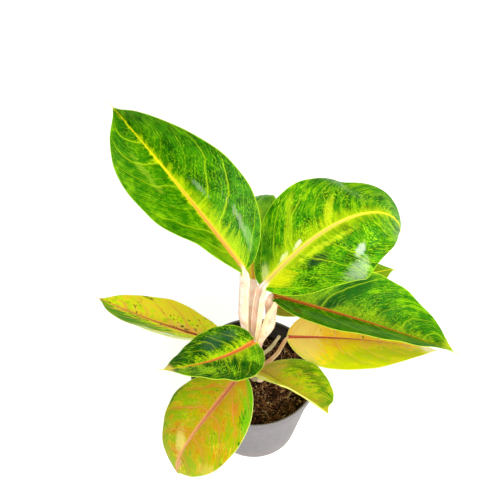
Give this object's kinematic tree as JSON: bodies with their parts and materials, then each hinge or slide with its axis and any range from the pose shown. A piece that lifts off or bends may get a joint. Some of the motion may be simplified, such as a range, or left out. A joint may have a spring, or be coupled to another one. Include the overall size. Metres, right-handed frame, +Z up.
{
  "type": "potted houseplant",
  "caption": "Red-and-green aglaonema houseplant: large patterned leaves on a short cane, in a tapered grow pot of potting mix.",
  "frame": {"origin": "centre of the pot's base, on the surface it stands on", "axes": "+Z up; -Y is the side the plant is seen from, with +X to its right"},
  "size_m": [0.3372, 0.2351, 0.3191],
  "materials": {
    "pot_plastic": "matte grey moulded plastic",
    "potting_mix": "moist coir and peat with bark chips",
    "cane": "pale green-cream living cane, satin",
    "dry_sheath": "dry papery leaf sheath",
    "leaf_green": "leathery leaf, deep green with lime flecks and a red-orange midrib, soft gloss",
    "leaf_lime": "leathery leaf, lime and olive with dark green flecks, soft gloss",
    "leaf_golden": "leathery leaf, golden yellow with a red-pink midrib and green flecks, soft gloss"
  },
  "bodies": {
    "root": {"pot": "pot_plastic", "potting_mix": "potting_mix", "cane": "cane", "old_petiole_stub": "dry_sheath", "leaf_upper_left": "leaf_green", "leaf_back": "leaf_green", "leaf_upper_right": "leaf_green", "leaf_right": "leaf_green", "leaf_right_back": "leaf_lime", "leaf_lower_right": "leaf_golden", "leaf_front_right": "leaf_lime", "leaf_centre_left": "leaf_green", "leaf_front": "leaf_golden", "leaf_left": "leaf_golden"}
  },
  "joints": []
}
